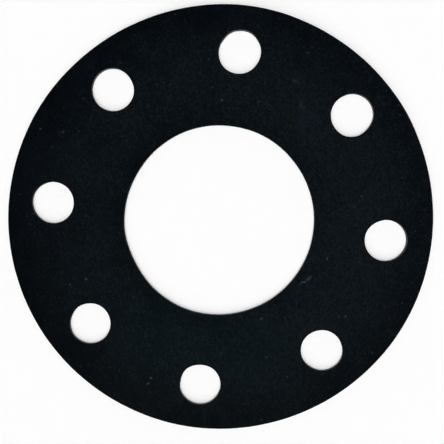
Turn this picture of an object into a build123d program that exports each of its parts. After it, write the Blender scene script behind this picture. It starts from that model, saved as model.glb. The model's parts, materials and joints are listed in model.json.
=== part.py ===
"""Full-face rubber gasket for a pair of DN65 PN16 pipe flanges, millimetres.

The gasket is one flat ring cut from cloth-finished sheet rubber. It covers the whole
flange face, so the bolts pass through it. The origin is the centre of the bore on the
underside, +Z runs up the bore, and the bolt holes straddle the X and Y axes as they
do on an installed flange.
"""
import os

from build123d import *

# Driving dimensions
outside_diameter = 184.0        # rim, just inside the 185 mm flange so that no rubber stands proud
bore_diameter = 82.5            # clears the pipe's bore, so that no lip of rubber reaches the flow
bolt_circle_diameter = 145.0    # circle through the centres of the bolt holes
bolt_hole_diameter = 18.0       # passes an M16 bolt
bolt_hole_count = 8
sheet_thickness = 1.5           # gauge of the rubber sheet

# The bolt holes sit half a pitch off the X axis, so that they straddle both centrelines.
bolt_hole_pitch_angle = 360.0 / bolt_hole_count
first_bolt_hole_angle = bolt_hole_pitch_angle / 2

# The ring is drawn flat and cut square through the sheet: rubber cut with a punch or a
# knife has plain, sharp edges at the rim, the bore and the bolt holes.
with BuildPart() as flange_gasket:
    with BuildSketch(Plane.XY) as sheet_outline:
        Circle(outside_diameter / 2)
        Circle(bore_diameter / 2, mode=Mode.SUBTRACT)
        with PolarLocations(bolt_circle_diameter / 2, bolt_hole_count, first_bolt_hole_angle):
            Circle(bolt_hole_diameter / 2, mode=Mode.SUBTRACT)
    extrude(amount=sheet_thickness)

flange_gasket.part.label = "flange_gasket"

os.makedirs("parts", exist_ok=True)
export_step(flange_gasket.part, "parts/flange_gasket.step")
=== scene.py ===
"""Looks of a full-face rubber flange gasket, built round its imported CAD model.

The gasket was cut by hand from one sheet of cloth-finished rubber, so its rim, its bore
and its bolt holes are a little out of true and their edges are barely rounded. It lies
flat on a white studio floor. Lengths on the gasket are in millimetres, and MM turns them
into metres.
"""

import json
import math
import random

import bpy
from mathutils import Matrix, Vector, noise
from mathutils.geometry import delaunay_2d_cdt


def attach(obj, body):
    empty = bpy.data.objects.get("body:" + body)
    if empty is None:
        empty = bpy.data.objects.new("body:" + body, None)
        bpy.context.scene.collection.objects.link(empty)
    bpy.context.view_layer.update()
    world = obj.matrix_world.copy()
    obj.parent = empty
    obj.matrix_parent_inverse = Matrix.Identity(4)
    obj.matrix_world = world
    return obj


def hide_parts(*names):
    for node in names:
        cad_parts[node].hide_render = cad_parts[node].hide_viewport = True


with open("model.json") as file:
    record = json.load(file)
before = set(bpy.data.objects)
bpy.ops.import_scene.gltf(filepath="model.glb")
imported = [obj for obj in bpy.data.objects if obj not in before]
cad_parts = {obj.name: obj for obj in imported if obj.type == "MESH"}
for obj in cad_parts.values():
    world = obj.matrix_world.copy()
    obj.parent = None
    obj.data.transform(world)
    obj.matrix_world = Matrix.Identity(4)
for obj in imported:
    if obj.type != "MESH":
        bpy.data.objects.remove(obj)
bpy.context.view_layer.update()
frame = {"nodes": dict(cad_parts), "record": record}

MM = 0.001               # one millimetre in metres

# The sizes that the CAD model settles, in millimetres
mounts = {mount["name"]: mount["dims"] for mount in frame["record"]["mounts"]}
cad_corners = frame["nodes"]["flange_gasket"].data.vertices
RIM_RADIUS = max(corner.co.xy.length for corner in cad_corners) / MM
THICKNESS = max(corner.co.z for corner in cad_corners) / MM
BORE_RADIUS = mounts["bore"]["r_mm"]
HOLE_CIRCLE_RADIUS = mounts["bolt_holes"]["pcd_mm"] / 2
HOLE_RADIUS = mounts["bolt_holes"]["hole_r_mm"]
HOLE_COUNT = mounts["bolt_holes"]["count"]

# How far the cloth's ribs are turned from the Y axis, in degrees; negative is clockwise
CLOTH_TURN = -16.0

# --- How the sheet was cut -----------------------------------------------------------

# Where a cut swells out or draws in: (middle, half width, swell), degrees and millimetres
RIM_SWELLS = ((15, 10, 0.15), (25, 35, 0.20), (63, 24, 0.28), (114, 52, -0.62), (128, 16, 0.10),
              (151, 18, -0.10), (209, 55, 0.18), (246, 25, 0.15), (311, 30, 0.10))
BORE_SWELLS = ((44, 30, 0.16), (118, 30, -0.16), (136, 22, -0.18), (172, 16, 0.18),
               (187, 20, -0.27), (200, 14, -0.12), (231, 20, 0.10), (269, 25, -0.10),
               (300, 60, -0.20))
BORE_SPREAD = -0.12      # the bore was cut a little tighter than asked, in radius
EDGE_WANDER = 0.04       # how far a steady cut wanders in and out
EDGE_WANDER_LENGTH = 9.0     # and how long its waves are
# Each cut's own place in the noise that its wander and its drag lines come from
RIM_SEED = 1.5
BORE_SEED = 2.5
FIRST_HOLE_SEED = 10.5

PUNCH_SPREAD = 0.04      # the punch cut a little wider than asked, in radius
# Each hole, from the first past the X axis on: how far it was punched off its mark, outwards
# and anticlockwise, how the punch leaned, and the hole's swells. A lean is the heading of the
# side whose wall slopes into the hole, and how far that wall's foot stands in from its head.
PUNCHED_HOLES = (
    (0.2, 0.1, (25, 0.2), ((25, 70, 0.15), (105, 35, -0.10), (235, 35, 0.15), (305, 40, -0.25))),
    (0.1, -0.7, (95, 0.3), ((45, 35, 0.25), (95, 80, 0.25), (125, 35, -0.30), (210, 55, 0.20),
                            (310, 50, -0.20))),
    (-0.1, 0.4, (95, 0.2), ((15, 50, -0.30), (95, 60, 0.10), (270, 50, 0.05))),
    (0.1, 0.2, (0, 0.0), ((65, 45, -0.15), (105, 40, -0.15))),
    (0.0, 0.0, (0, 0.0), ((90, 55, -0.25), (140, 40, -0.40), (175, 25, -0.15))),
    (0.1, -0.2, (0, 0.0), ((75, 50, -0.30), (150, 40, -0.35), (210, 40, -0.10))),
    (-0.3, -0.1, (0, 0.0), ((95, 45, -0.10), (225, 40, -0.20), (320, 50, 0.20))),
    (-0.1, -0.1, (350, 0.3), ((25, 40, 0.10), (350, 60, 0.15), (95, 50, -0.20), (240, 110, -0.20))),
)

# --- How fine the mesh is ------------------------------------------------------------

CUT_STEP = 0.6           # between the corners along a cut
FACE_STEP = 1.5          # between the corners on a face
FACE_MARGIN = 0.6        # between a cut and the flat of the face
FACE_SHAKE = 0.2         # how far the corners on a face are shaken off their rows
FACE_SHAKE_SEED = 184
FACE_MEET = 1e-6         # closer than this, two corners on a face would be one
EDGE_RADIUS = 0.10       # the rounding of a cut's upper and lower edges
EDGE_STEPS = 3           # in that rounding
EDGE_MARGIN = 0.25       # between a cut and the ring of corners that starts its rounding
WALL_LEVELS = (0.75, 0.5, 0.25)     # where the wall has its middle rows, in thicknesses
WALL_HOLLOW = 0.05       # how far rubber springs back at the middle of a cut wall
WALL_SCORE = 0.02        # the depth of the blade's drag lines
WALL_SCORE_LENGTH = 1.1  # and how long their waves are
SHEET_LIFT = 0.16        # the most that the sheet stands off the floor
SHEET_LIFT_LENGTH = 60.0     # and how long its waves are
SHEET_LIFT_SEED = Vector((3.1, 7.4, 0.6))


def towards(angle):
    """Points this way across the sheet, in radians from the X axis."""
    return Vector((math.cos(angle), math.sin(angle)))


def swell_at(degrees, swells):
    """The sum of the smooth swells at one angle, in millimetres."""
    total = 0.0
    for middle, half_width, swell in swells:
        away = abs((degrees - middle + 180) % 360 - 180)
        if away < half_width:
            total += swell * (0.5 + 0.5 * math.cos(math.pi * away / half_width))
    return total


def ring_noise(angle, radius, length, seed):
    """Smooth noise round a circle, from -1 to 1, whose waves are about this long."""
    spot = towards(angle).to_3d() * (radius / length)
    return noise.noise(spot + Vector((0.0, 0.0, seed)))


class Cut:
    """One closed cut through the sheet: its rim, its bore or a bolt hole.

    The rubber side is 1 where the rubber lies round the cut, and -1 where it lies within.
    """

    def __init__(self, radius, seed, swells, centre=(0.0, 0.0), lean=(0, 0.0), rubber_side=1):
        self.radius = radius
        self.seed = seed
        self.swells = swells
        self.centre = Vector(centre)
        self.rubber_side = rubber_side
        side, slope = lean
        self.lean = towards(math.radians(side)) * slope
        self.steps = round(math.tau * radius / CUT_STEP)
        self.angles = [math.tau * step / self.steps for step in range(self.steps)]

    def radius_at(self, angle):
        """The cut's true radius at one angle, on the upper face."""
        wander = EDGE_WANDER * ring_noise(angle, self.radius, EDGE_WANDER_LENGTH, self.seed)
        return self.radius + swell_at(math.degrees(angle), self.swells) + wander

    def point(self, angle, inset, height):
        """The point at this height that lies this far into the rubber from the cut's wall."""
        reach = self.radius_at(angle) + self.rubber_side * inset
        # A leaning cut is in its place at the top, and moved off its sloping side below.
        middle = self.centre + self.lean * (height / THICKNESS - 1)
        return middle + reach * towards(angle)

    def depth(self, spot):
        """How far a point of the upper face lies into the rubber; negative is off the rubber."""
        offset = spot - self.centre
        angle = math.atan2(offset.y, offset.x)
        return self.rubber_side * (offset.length - self.radius_at(angle))


def bolt_hole_cut(index):
    """One punched bolt hole, off its mark and leaning as the punch slipped and leaned."""
    out_slip, round_slip, lean, swells = PUNCHED_HOLES[index]
    outwards = towards(math.tau * (index + 0.5) / HOLE_COUNT)
    centre = outwards * (HOLE_CIRCLE_RADIUS + out_slip) + outwards.orthogonal() * round_slip
    radius = HOLE_RADIUS + PUNCH_SPREAD
    return Cut(radius, FIRST_HOLE_SEED + index, swells, centre, lean)


def sheet_cuts():
    """All the cuts that make the gasket: the rim, the bore and the ring of bolt holes."""
    rim = Cut(RIM_RADIUS, RIM_SEED, RIM_SWELLS, rubber_side=-1)
    bore = Cut(BORE_RADIUS + BORE_SPREAD, BORE_SEED, BORE_SWELLS)
    return [rim, bore] + [bolt_hole_cut(index) for index in range(HOLE_COUNT)]


# --- The gasket's mesh ---------------------------------------------------------------

def wall_profile():
    """The cut's section from the upper face to the lower: (inset, height, is wall) rows."""
    upper = [(FACE_MARGIN, THICKNESS, False), (EDGE_MARGIN, THICKNESS, False)]
    for step in range(EDGE_STEPS + 1):
        turn = math.radians(90) * step / EDGE_STEPS
        inset = EDGE_RADIUS * (1 - math.sin(turn))
        upper.append((inset, THICKNESS - EDGE_RADIUS * (1 - math.cos(turn)), step > 0))
    lower = [(inset, THICKNESS - height, wall) for inset, height, wall in reversed(upper)]
    middle = [
        (WALL_HOLLOW * math.sin(math.pi * level), THICKNESS * level, True)
        for level in WALL_LEVELS
    ]
    return upper + middle + lower


def sheet_lift(x, y):
    """How high the underside stands off the floor at one place, before it is settled."""
    spot = Vector((x, y, 0.0)) / SHEET_LIFT_LENGTH
    return SHEET_LIFT * (0.5 + 0.5 * noise.noise(spot + SHEET_LIFT_SEED))


class SheetMesh:
    """Gathers the corners and faces of the gasket, in millimetres."""

    def __init__(self):
        self.corners = []
        self.faces = []
        self.on_wall = []

    def add_corner(self, x, y, height):
        self.corners.append((x, y, height + sheet_lift(x, y)))
        return len(self.corners) - 1

    def add_face(self, corners, on_wall=False):
        self.faces.append(corners)
        self.on_wall.append(on_wall)

    def add_wall(self, cut):
        """Skins one cut's wall and returns its innermost rows on the two faces."""
        profile = wall_profile()
        rows = []
        for inset, height, wall in profile:
            row = []
            for angle in cut.angles:
                drag = ring_noise(angle, cut.radius, WALL_SCORE_LENGTH, cut.seed + height)
                spot = cut.point(angle, inset + WALL_SCORE * drag if wall else inset, height)
                row.append(self.add_corner(spot.x, spot.y, height))
            rows.append(row)
        for level, (row, lower_row) in enumerate(zip(rows, rows[1:])):
            on_wall = profile[level][2] or profile[level + 1][2]
            for here in range(cut.steps):
                ahead = (here + 1) % cut.steps
                face = [row[here], lower_row[here], lower_row[ahead], row[ahead]]
                self.add_face(face[::-cut.rubber_side], on_wall)
        return rows[0], rows[-1]

    def build(self, name):
        """A Blender object of it all, in metres, resting on the floor."""
        settled = min(height for _, _, height in self.corners)
        mesh = bpy.data.meshes.new(name)
        mesh.from_pydata(
            [Vector((x, y, height - settled)) * MM for x, y, height in self.corners],
            [], self.faces,
        )
        mesh.polygons.foreach_set("material_index", [int(wall) for wall in self.on_wall])
        mesh.polygons.foreach_set("use_smooth", [True] * len(self.faces))
        piece = bpy.data.objects.new(name, mesh)
        bpy.context.scene.collection.objects.link(piece)
        return piece


def face_grid(cuts):
    """Evenly spread points of the sheet, clear of every cut, shaken off their rows."""
    chance = random.Random(FACE_SHAKE_SEED)
    row_step = FACE_STEP * math.sqrt(3) / 2
    rows = int(RIM_RADIUS / row_step)
    columns = int(RIM_RADIUS / FACE_STEP) + 1
    points = []
    for row in range(-rows, rows + 1):
        for column in range(-columns, columns + 1):
            shake = Vector([chance.uniform(-FACE_SHAKE, FACE_SHAKE) for _ in range(2)])
            spot = Vector(((column + row % 2 / 2) * FACE_STEP, row * row_step)) + shake
            if min(cut.depth(spot) for cut in cuts) > FACE_MARGIN + FACE_STEP / 2:
                points.append(spot)
    return points


def face_triangles(loop_sizes, points):
    """Triangles between the cuts' innermost rows, which lead the points, and all the points."""
    loops = []
    start = 0
    for size in loop_sizes:
        loops.append(list(range(start, start + size)))
        start += size
    # Output type 1 keeps the triangles inside the loops. The last list names each one's loops.
    flat, _, triangles, sources, _, inside = delaunay_2d_cdt(
        points, [], loops, 1, FACE_MEET, True
    )
    if len(flat) != len(points):
        raise ValueError("the face's points met, so its triangles don't match its corners")
    # Rubber lies inside the rim's loop, which is the first, and inside no other loop.
    return [
        [sources[corner][0] for corner in triangle]
        for triangle, around in zip(triangles, inside) if list(around) == [0]
    ]


def cut_gasket():
    """The whole gasket as one closed mesh."""
    cuts = sheet_cuts()
    sheet = SheetMesh()
    walls = [sheet.add_wall(cut) for cut in cuts]
    upper_loops = [upper for upper, _ in walls]
    lower_loops = [lower for _, lower in walls]
    loop_points = [
        Vector(sheet.corners[corner][:2]) for loop in upper_loops for corner in loop
    ]
    grid = face_grid(cuts)
    triangles = face_triangles([cut.steps for cut in cuts], loop_points + grid)
    for loops, height, order in ((upper_loops, THICKNESS, 1), (lower_loops, 0.0, -1)):
        corners = [corner for loop in loops for corner in loop]
        corners += [sheet.add_corner(spot.x, spot.y, height) for spot in grid]
        for triangle in triangles:
            sheet.add_face([corners[corner] for corner in triangle][::order])
    return sheet.build("gasket")


# --- Materials -----------------------------------------------------------------------

# Colours are linear red, green, blue and alpha.
RUBBER_DARK = (0.0000, 0.0008, 0.0018, 1.0)
RUBBER_PALE = (0.0060, 0.0093, 0.0124, 1.0)
SMUDGE_COLOUR = (0.0060, 0.0095, 0.0160, 1.0)
STAIN_TINT = (0.81, 1.25, 1.11, 1.0)
DUST_COLOUR = (0.042, 0.051, 0.056, 1.0)
CUT_DARK = (0.035, 0.040, 0.040, 1.0)
CUT_PALE = (0.100, 0.107, 0.105, 1.0)

RUBBER_GLOSS = 0.06      # specular level, where 0.5 is plain plastic
RUBBER_ROUGHNESS = 0.58
MOTTLE_ROUGHNESS = 0.25  # how far the mottling moves that
PALE_ROUGHNESS = 0.15    # how much rougher dust and scuffs are
CUT_ROUGHNESS = 0.50
CUT_GRAIN_ROUGHNESS = 0.2    # how far its grain moves that

# Shares of the way from the dark rubber to the pale: the face's own, the painted shade that
# darkens it towards the rim and the bore, and the painted light that makes one side paler
FACE_TONE = 0.53
# Painted shade: the face is painted darker towards the rim and towards the bore.
RIM_PAINTED_SHADE = 0.30
RIM_PAINTED_SHADE_START = 64.0    # the distance from the middle where it starts, and it ends at the rim
BORE_PAINTED_SHADE = 0.13
BORE_PAINTED_SHADE_END = 54.0     # the distance from the middle where it ends
# Painted light: one side of the face is painted paler.
SIDE_PAINTED_LIGHT = 0.11
PAINTED_LIT_SIDE = (0.97, -0.25, 0.0)   # the way to that side from the middle

# How far each pattern moves that tone: the two broad ones by adding to it, and the fine ones,
# the cloth print's painted light and shade and its painted glints, as shares of it
MOTTLE_TONE = 0.32
CLOUD_TONE = 0.40
PRINT_TONE = 0.60
PAINTED_GLINT_TONE = 2.5
GLINT_NOISE_TONE = 2.0
TEXTURE_TONE = 0.955     # where every fine pattern is at its middle
# How much the print's painted light and shade and the painted glints stand out, from where they are
# dull to where they are clear
CLEARNESS = (0.5, 1.5)
# The parts of a noise pattern that make the painted glints, and that go from dull to clear
PAINTED_GLINT_RANGE = (0.45, 0.75)
CLEARNESS_RANGE = (0.35, 0.65)

# A cut wall's share of the way from its dark to its pale, and how far the patterns move that
CUT_TONE = 0.5
CUT_GRAIN_TONE = 0.6
DRAG_TONE = 1.2

NOISE_MIDDLE = 0.5
# Noise patterns: (waves per millimetre, detail, roughness)
GLINT_NOISE = (0.90, 2.0, 1.0)
MOTTLE_NOISE = (0.16, 2.0, 0.7)
CLOUD_NOISE = (0.045, 2.0, 0.5)
CLEARNESS_NOISE = (0.12, 2.0, 0.5)
GRAIN_NOISE = (1.6, 3.0, 0.5)
CUT_GRAIN_NOISE = (2.5, 3.0, 0.5)
DRAG_NOISE = (1.0, 3.0, 0.5)
# How many times as many waves a pattern has along X, Y and Z
GLINT_AND_PIT_STRETCH = (1.0, 0.75, 1.0)
DRAG_STRETCH = (0.15, 0.15, 6.0)
# Specks: (spacing, share of the places that have one, their sizes, their strengths)
PITS = (2.2, 0.35, (0.5, 1.0), (0.3, 0.8))
DUST = (3.2, 0.22, (0.5, 1.1), (0.2, 0.7))
SPECK_CORE = 0.25        # the share of a speck's radius that is at its full strength

RIB_PITCH = 0.96         # between the ribs that the cloth printed into the sheet
THREAD_PITCH = 1.25      # between the fainter threads that cross them
RIB_SHARE = 0.8          # of the print's height
THREAD_SHARE = 0.2
PRINT_MIDDLE = 0.6
PRINT_DEPTH = 0.030
GRAIN_DEPTH = 0.010
SCORE_DEPTH = 0.015      # of the blade's drag lines on a cut wall

# How places are pushed about, to make straight ribs and plain ovals uneven: (reach, waves
# per millimetre)
PRINT_SHAKE = (0.12, 0.2)
MARK_SHAKE = (0.15, 1.4)

# The share of a mark's half width over which it fades out
STAIN_SOFTNESS = 1.0
MARK_SOFTNESS = 0.9
# Marks on the upper face: (x, y, length, width, turn, strength), millimetres and degrees
SCUFFS = (
    (28.0, -35.5, 4.0, 1.2, -10, 0.9), (26.5, -36.0, 2.4, 1.2, 50, 0.3),
    (30.0, -35.0, 2.0, 1.2, -15, 0.9), (31.0, -34.5, 3.8, 2.0, 35, 0.5),
    (47.5, 48.5, 4.4, 2.0, -40, 0.25), (47.5, 38.5, 6.0, 3.0, 70, 0.15),
    (-6.5, 76.5, 4.0, 1.0, 10, 0.20), (-50.0, -60.5, 2.8, 1.4, 10, 0.6),
)
CHIPS = (
    (-63.0, -8.5, 1.7, 1.4, -15, 0.9), (-70.5, -9.0, 1.6, 1.4, 20, 0.6),
    (-68.0, -7.0, 1.4, 1.0, 60, 0.3), (-48.0, -58.5, 1.9, 1.4, -15, 0.95),
    (-50.0, -64.5, 1.4, 1.0, 30, 0.25), (-63.0, 59.5, 1.7, 1.3, -15, 0.8),
    (-54.0, 55.5, 1.9, 1.2, 10, 0.6), (15.5, 49.5, 1.7, 1.3, 70, 0.8),
    (30.5, 44.5, 1.5, 1.0, 75, 0.5), (56.0, 58.5, 2.2, 1.6, -20, 0.35),
    (-4.0, 62.0, 1.6, 1.2, 80, 0.35), (15.0, 67.5, 1.5, 1.0, 75, 0.5),
    (87.0, 26.5, 1.2, 0.9, 50, 0.5), (62.0, -6.5, 1.8, 1.2, 60, 0.5),
    (40.5, -28.5, 2.0, 1.0, 75, 0.7), (53.5, -33.5, 1.4, 1.1, 0, 0.5),
    (6.0, -46.0, 1.7, 1.2, -15, 0.95), (41.5, -55.0, 1.5, 1.1, 75, 0.9),
    (66.5, -56.0, 1.2, 1.0, 0, 0.7), (3.5, -63.0, 1.8, 1.2, -15, 0.45),
    (25.0, -77.0, 1.4, 1.1, -15, 0.45), (-55.0, 18.0, 1.5, 1.2, 30, 0.4),
    (-30.0, 46.5, 1.4, 1.1, 10, 0.35), (-45.0, -22.0, 1.6, 1.1, 60, 0.4),
)
SMUDGES = (
    (45.5, 31.0, 11.0, 9.0, 30, 0.7), (51.5, 31.0, 10.0, 9.0, 0, 0.4),
    (48.5, 50.5, 11.0, 7.0, -15, 0.35), (-38.0, -70.0, 16.0, 7.0, 20, 0.3),
    (-74.0, 42.0, 70.0, 26.0, 60, 0.15),
)
STAINS = (
    (-26.0, -44.0, 140.0, 85.0, -31, 1.0), (-46.0, 14.0, 50.0, 32.0, 75, 0.6),
)


class Recipe:
    """A material whose nodes are added and linked in the order that they are used."""

    def __init__(self, name):
        self.material = bpy.data.materials.new(name)
        self.material.use_nodes = True
        self.tree = self.material.node_tree
        self.tree.nodes.clear()

    def add(self, kind, inputs, **settings):
        """Adds one node, with numbers or other nodes' outputs as its inputs."""
        node = self.tree.nodes.new("ShaderNode" + kind)
        for name, value in settings.items():
            setattr(node, name, value)
        for name, value in inputs.items():
            if isinstance(value, bpy.types.NodeSocket):
                self.tree.links.new(value, node.inputs[name])
            else:
                node.inputs[name].default_value = value
        return node

    def math(self, operation, first, second=0.0, third=0.0):
        return self.add("Math", {0: first, 1: second, 2: third}, operation=operation).outputs[0]

    def noise(self, place, waves_per_mm, detail=2.0, roughness=0.5):
        """Smooth noise round 0.5, mostly between 0.3 and 0.7."""
        inputs = {
            "Vector": place, "Scale": waves_per_mm, "Detail": detail, "Roughness": roughness,
        }
        return self.add("TexNoise", inputs).outputs["Fac"]

    def sway(self, pattern, amount, base=0.0, middle=NOISE_MIDDLE):
        """The base, moved by this amount for each 1 that the pattern is off its middle."""
        return self.math("MULTIPLY_ADD", self.math("SUBTRACT", pattern, middle), amount, base)

    def remap(self, value, old, new=(0.0, 1.0), smooth=False):
        """Moves a value from the old range to the new one, and keeps it there."""
        inputs = {
            "Value": value, "From Min": old[0], "From Max": old[1],
            "To Min": new[0], "To Max": new[1],
        }
        shape = "SMOOTHSTEP" if smooth else "LINEAR"
        return self.add("MapRange", inputs, interpolation_type=shape).outputs["Result"]

    def blend(self, share, first, second, kind="MIX"):
        """A colour that goes from the first to the second as the share goes from 0 to 1."""
        inputs = {"Fac": share, "Color1": first, "Color2": second}
        return self.add("MixRGB", inputs, blend_type=kind).outputs["Color"]

    def place(self, turn=0.0, scale=(1.0, 1.0, 1.0)):
        """Places on the gasket in millimetres, on axes turned by this many degrees."""
        inputs = {
            "Vector": self.add("TexCoord", {}).outputs["Object"],
            "Rotation": (0.0, 0.0, -math.radians(turn)),
            "Scale": Vector(scale) / MM,
        }
        return self.add("Mapping", inputs).outputs["Vector"]

    def shake(self, place, reach, waves_per_mm):
        """The same places, pushed about by up to roughly this many millimetres."""
        inputs = {"Vector": place, "Scale": waves_per_mm, "Detail": 1.0}
        push = self.add("TexNoise", inputs).outputs["Color"]
        # The noise's colour stays round 0.5, so half the push is taken off again.
        inputs = {0: push, 1: (4 * reach,) * 3, 2: (-2 * reach,) * 3}
        push = self.add("VectorMath", inputs, operation="MULTIPLY_ADD").outputs["Vector"]
        return self.add("VectorMath", {0: place, 1: push}, operation="ADD").outputs["Vector"]

    def bump(self, height, depth, normal=None):
        """Raises the surface by this many millimetres where the height is 1."""
        inputs = {"Height": height, "Distance": depth * MM}
        if normal is not None:
            inputs["Normal"] = normal
        return self.add("Bump", inputs).outputs["Normal"]

    def rubber(self, colour, roughness, normal):
        """The finished material."""
        inputs = {
            "Base Color": colour, "Roughness": roughness, "Normal": normal,
            "Specular IOR Level": RUBBER_GLOSS,
        }
        surface = self.add("BsdfPrincipled", inputs).outputs["BSDF"]
        self.add("OutputMaterial", {"Surface": surface})
        return self.material


def cloth_print(recipe, place):
    """The cloth's print in the rubber: ribs along Y, broken by fainter threads across."""
    axes = recipe.add("SeparateXYZ", {0: recipe.shake(place, *PRINT_SHAKE)}).outputs
    wave_x = recipe.math("COSINE", recipe.math("MULTIPLY", axes[0], math.pi / RIB_PITCH))
    wave_y = recipe.math("COSINE", recipe.math("MULTIPLY", axes[1], math.pi / THREAD_PITCH))
    rib = recipe.math("ABSOLUTE", wave_x)
    # Above 0 where the rib passes over the crossing thread, and below 0 where it dives under
    over = recipe.math("MULTIPLY", wave_x, wave_y)
    ribs = recipe.math("MULTIPLY", rib, RIB_SHARE)
    return recipe.math("MULTIPLY_ADD", over, THREAD_SHARE, ribs)


def ovals(recipe, place, marks, softness):
    """How strongly these oval marks cover the upper face, fading towards their edges."""
    covered = 0.0
    for x, y, length, width, turn, strength in marks:
        inputs = {
            "Vector": place,
            "Location": (x, y, THICKNESS),
            "Rotation": (0.0, 0.0, math.radians(turn)),
            "Scale": (length / 2, width / 2, THICKNESS / 2),
        }
        local = recipe.add("Mapping", inputs, vector_type="TEXTURE").outputs["Vector"]
        away = recipe.add("VectorMath", {0: local}, operation="LENGTH").outputs["Value"]
        oval = recipe.remap(away, (1.0, 1.0 - softness), (0.0, strength), smooth=True)
        covered = recipe.math("MAXIMUM", covered, oval)
    return covered


def specks(recipe, place, spacing, share, sizes, strengths):
    """Scattered specks, 0 to 1: one in some cells of this spacing, in millimetres."""
    inputs = {"Vector": place, "Scale": 1 / spacing}
    cell = recipe.add("TexVoronoi", inputs, voronoi_dimensions="2D").outputs
    chances = recipe.add("SeparateColor", {0: cell["Color"]}).outputs
    present = recipe.math("LESS_THAN", chances[0], share)
    small, large = (size / 2 / spacing for size in sizes)
    radius = recipe.remap(chances[1], (0.0, 1.0), (small, large))
    core = recipe.math("MULTIPLY", radius, SPECK_CORE)
    speck = recipe.remap(cell["Distance"], (radius, core), smooth=True)
    strength = recipe.math("POWER", recipe.remap(chances[2], (0.0, 1.0), strengths), 2.0)
    return recipe.math("MULTIPLY", recipe.math("MULTIPLY", speck, present), strength)


def painted_light_and_shade(recipe, place):
    """Painted light and shade: the face darker towards the rim and the bore, and paler on one side.
    """
    flat = recipe.add("VectorMath", {0: place, 1: (1, 1, 0)}, operation="MULTIPLY").outputs[0]
    reach = recipe.add("VectorMath", {0: flat}, operation="LENGTH").outputs["Value"]
    # Painted shade: darker towards the rim and towards the bore.
    at_rim = recipe.remap(reach, (RIM_PAINTED_SHADE_START, RIM_RADIUS), (0.0, -RIM_PAINTED_SHADE), smooth=True)
    at_bore = recipe.remap(reach, (BORE_PAINTED_SHADE_END, BORE_RADIUS), (0.0, -BORE_PAINTED_SHADE), smooth=True)
    # Painted light: the face is painted paler on one side.
    outwards = recipe.add("VectorMath", {0: flat}, operation="NORMALIZE").outputs[0]
    painted_light = recipe.add("VectorMath", {0: outwards, 1: PAINTED_LIT_SIDE}, operation="DOT_PRODUCT")
    painted_light = recipe.math("MULTIPLY", painted_light.outputs["Value"], SIDE_PAINTED_LIGHT)
    return recipe.math("ADD", painted_light, recipe.math("ADD", at_rim, at_bore))


def face_tone(recipe, place, printed, mottle):
    """How pale the rubber is from place to place, before its stains, dust and scuffs, with painted
    shade towards the rim and the bore, painted light on one side, and the cloth weave's light, shade
    and glints painted in.
    """
    # The painted glints and the pits are a little longer along the cloth's ribs than across them.
    stretched_place = recipe.place(CLOTH_TURN, GLINT_AND_PIT_STRETCH)
    painted_light = recipe.noise(stretched_place, *GLINT_NOISE)
    painted_glints = recipe.math("POWER", recipe.remap(painted_light, PAINTED_GLINT_RANGE), 2.0)
    # The print's painted light and shade and the painted glints stand out more in some places than
    # in others.
    clearness = recipe.remap(recipe.noise(place, *CLEARNESS_NOISE), CLEARNESS_RANGE, CLEARNESS)

    tone = recipe.math("ADD", painted_light_and_shade(recipe, place), FACE_TONE)
    tone = recipe.sway(mottle, MOTTLE_TONE, tone)
    tone = recipe.sway(recipe.noise(place, *CLOUD_NOISE), CLOUD_TONE, tone)
    # Painted light and shade of the cloth weave: the print's ribs and glints are painted into the
    # colour.
    texture = recipe.sway(printed, PRINT_TONE, middle=PRINT_MIDDLE)
    texture = recipe.math("MULTIPLY_ADD", painted_glints, PAINTED_GLINT_TONE, texture)
    texture = recipe.math("MULTIPLY_ADD", texture, clearness, TEXTURE_TONE)
    texture = recipe.sway(painted_light, GLINT_NOISE_TONE, texture)
    unpitted = recipe.math("SUBTRACT", 1.0, specks(recipe, stretched_place, *PITS))
    return recipe.math("MULTIPLY", recipe.math("MULTIPLY", tone, texture), unpitted)


def face_rubber():
    """The sheet's moulded face: cloth-printed, faintly mottled, dusty and scuffed, with painted
    light and shade.
    """
    recipe = Recipe("cloth_finished_rubber")
    place = recipe.place()
    ragged_place = recipe.shake(place, *MARK_SHAKE)
    printed = cloth_print(recipe, recipe.place(CLOTH_TURN))
    mottle = recipe.noise(place, *MOTTLE_NOISE)

    colour = recipe.blend(face_tone(recipe, place, printed, mottle), RUBBER_DARK, RUBBER_PALE)
    stained = recipe.blend(1.0, colour, STAIN_TINT, "MULTIPLY")
    colour = recipe.blend(ovals(recipe, place, STAINS, STAIN_SOFTNESS), colour, stained)
    smudged = ovals(recipe, place, SMUDGES, STAIN_SOFTNESS)
    colour = recipe.blend(smudged, colour, SMUDGE_COLOUR)
    marks = ovals(recipe, ragged_place, CHIPS + SCUFFS, MARK_SOFTNESS)
    pale = recipe.math("MAXIMUM", specks(recipe, ragged_place, *DUST), marks)
    colour = recipe.blend(pale, colour, DUST_COLOUR)

    roughness = recipe.sway(mottle, MOTTLE_ROUGHNESS, RUBBER_ROUGHNESS)
    roughness = recipe.math("MULTIPLY_ADD", pale, PALE_ROUGHNESS, roughness)
    normal = recipe.bump(recipe.noise(place, *GRAIN_NOISE), GRAIN_DEPTH)
    normal = recipe.bump(printed, PRINT_DEPTH, normal)
    return recipe.rubber(colour, roughness, normal)


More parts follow.
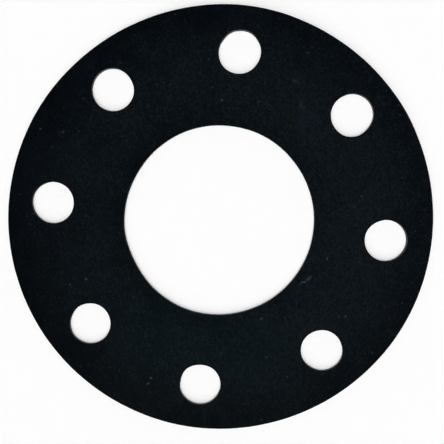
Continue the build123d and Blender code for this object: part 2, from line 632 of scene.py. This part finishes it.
def cut_rubber():
    """A cut wall: plain rubber, a little greyer, with the blade's drag lines round it."""
    recipe = Recipe("cut_rubber")
    # Stretched round the cut, so that its waves look like lines
    drag = recipe.noise(recipe.place(scale=DRAG_STRETCH), *DRAG_NOISE)
    grain = recipe.noise(recipe.place(), *CUT_GRAIN_NOISE)
    tone = recipe.sway(grain, CUT_GRAIN_TONE, CUT_TONE)
    tone = recipe.sway(drag, DRAG_TONE, tone)
    colour = recipe.blend(tone, CUT_DARK, CUT_PALE)
    roughness = recipe.sway(grain, CUT_GRAIN_ROUGHNESS, CUT_ROUGHNESS)
    normal = recipe.bump(grain, GRAIN_DEPTH)
    normal = recipe.bump(drag, SCORE_DEPTH, normal)
    return recipe.rubber(colour, roughness, normal)


# --- The studio, in metres -----------------------------------------------------------

FLOOR_RADIUS = 4.0
FLOOR_RINGS = (0.05, 0.5, FLOOR_RADIUS)     # where the level floor has its rings of corners
BACKDROP_RISE = 0.6      # the radius of the backdrop's bend, and the height of its wall above
FLOOR_SEGMENTS = 96
BEND_STEPS = 12
FLOOR_COLOUR = (0.80, 0.80, 0.80, 1.0)
CLOSE_FLOOR = 0.6        # within this radius the floor keeps its shadows
FLOOR_GLOW = 0.27        # and is seen this much brighter than it is lit
FAR_FLOOR = 2.0          # past this radius the floor and the backdrop are seen as plain white
BACKDROP_WHITE = 0.98

WORLD_LIGHT = 0.12
# Soft boxes, so far off that they light the floor evenly. Heading and tilt are where the
# light comes from: degrees anticlockwise from X and degrees down from straight overhead. The
# share is how much of the brightness of a white sheet, lying flat, comes from this box. The
# overhead box is kept out of reflections, as a polarising sheet would do.
SOFT_BOXES = (
    # name, heading, tilt, spread, share, is reflected
    ("overhead_box", 240, 10, 40, 0.57, False),
    ("window_box", 240, 58, 46, 0.19, True),
)

LENS = 55.0              # on a 36 mm sensor
CAMERA_AIM = Vector((0.0012, -0.0007, 0.0015))
CAMERA_DISTANCE = 0.2935
CAMERA_HEADING = 53.4    # which way it leans from straight overhead
CAMERA_TILT = 4.4        # and by how much, in degrees
CAMERA_CLIP_START = 0.01


def direction(heading, tilt):
    """Points this far round from X, in degrees, and this far down from straight up."""
    turn = math.radians(heading)
    lean = math.radians(tilt)
    return Vector((math.cos(turn) * math.sin(lean), math.sin(turn) * math.sin(lean), math.cos(lean)))


def studio_floor():
    """A round floor that bends up into a backdrop, far outside the gasket."""
    profile = [(reach, 0.0) for reach in FLOOR_RINGS]
    for step in range(1, BEND_STEPS + 1):
        turn = math.radians(90) * step / BEND_STEPS
        reach = FLOOR_RADIUS + BACKDROP_RISE * math.sin(turn)
        profile.append((reach, BACKDROP_RISE * (1 - math.cos(turn))))
    profile.append((profile[-1][0], 2 * BACKDROP_RISE))
    corners = [
        (reach * math.cos(math.tau * segment / FLOOR_SEGMENTS),
         reach * math.sin(math.tau * segment / FLOOR_SEGMENTS), height)
        for reach, height in profile for segment in range(FLOOR_SEGMENTS)
    ]
    faces = [list(range(FLOOR_SEGMENTS))]
    for ring in range(len(profile) - 1):
        inner = ring * FLOOR_SEGMENTS
        outer = inner + FLOOR_SEGMENTS
        for here in range(FLOOR_SEGMENTS):
            ahead = (here + 1) % FLOOR_SEGMENTS
            faces.append([inner + here, outer + here, outer + ahead, inner + ahead])
    mesh = bpy.data.meshes.new("studio_floor")
    mesh.from_pydata(corners, [], faces)
    mesh.polygons.foreach_set("use_smooth", [True] * len(faces))
    mesh.materials.append(floor_paint())
    floor = bpy.data.objects.new("studio_floor", mesh)
    bpy.context.scene.collection.objects.link(floor)


def floor_paint():
    """White paint that keeps the gasket's shadow and looks white to the camera."""
    recipe = Recipe("floor_paint")
    paint = recipe.add("BsdfDiffuse", {"Color": FLOOR_COLOUR}).outputs["BSDF"]
    ray = recipe.add("LightPath", {}).outputs
    seen = recipe.math("MAXIMUM", ray["Is Camera Ray"], ray["Is Glossy Ray"])
    seen = recipe.math("MAXIMUM", seen, ray["Is Transmission Ray"])
    glow = recipe.add("Emission", {"Strength": recipe.math("MULTIPLY", seen, FLOOR_GLOW)})
    close = recipe.add("AddShader", {0: paint, 1: glow.outputs["Emission"]}).outputs[0]
    far = recipe.add("Emission", {"Strength": BACKDROP_WHITE}).outputs["Emission"]
    reach = recipe.add("VectorMath", {0: recipe.place()}, operation="LENGTH").outputs["Value"]
    away = recipe.remap(reach, (CLOSE_FLOOR / MM, FAR_FLOOR / MM), smooth=True)
    surface = recipe.add("MixShader", {0: recipe.math("MULTIPLY", away, seen), 1: close, 2: far})
    recipe.add("OutputMaterial", {"Surface": surface.outputs[0]})
    return recipe.material


def add_soft_box(name, heading, tilt, spread, share, reflected):
    """One wide, even lamp."""
    lamp = bpy.data.lights.new(name, "SUN")
    lamp.angle = math.radians(spread)
    lamp.energy = math.pi * share / math.cos(math.radians(tilt))
    box = bpy.data.objects.new(name, lamp)
    box.rotation_mode = "QUATERNION"
    box.rotation_quaternion = direction(heading, tilt).to_track_quat("Z", "Y")
    box.location = direction(heading, tilt)
    box.visible_glossy = reflected
    bpy.context.scene.collection.objects.link(box)


def light_studio():
    """An even world and the soft boxes, at a level at which colours look as written."""
    world = bpy.data.worlds.new("studio")
    world.use_nodes = True
    background = world.node_tree.nodes["Background"].inputs
    background["Color"].default_value = (1.0, 1.0, 1.0, 1.0)
    background["Strength"].default_value = WORLD_LIGHT
    bpy.context.scene.world = world
    for soft_box in SOFT_BOXES:
        add_soft_box(*soft_box)


def add_camera():
    """Looks almost straight down, with the cloth's ribs upright in the picture."""
    camera = bpy.data.objects.new("camera", bpy.data.cameras.new("camera"))
    camera.data.lens = LENS
    camera.data.dof.use_dof = False
    camera.data.clip_start = CAMERA_CLIP_START
    back = direction(CAMERA_HEADING, CAMERA_TILT)
    along_ribs = direction(90 + CLOTH_TURN, 90)
    right = along_ribs.cross(back).normalized()
    up = back.cross(right)
    camera.matrix_world = Matrix((right, up, back)).transposed().to_4x4()
    camera.location = CAMERA_AIM + back * CAMERA_DISTANCE
    bpy.context.scene.collection.objects.link(camera)
    bpy.context.scene.camera = camera


studio_floor()
light_studio()
add_camera()

gasket = cut_gasket()
gasket.data.materials.append(face_rubber())
gasket.data.materials.append(cut_rubber())
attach(gasket, "root")
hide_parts("flange_gasket")

bpy.context.scene.view_settings.view_transform = "Standard"
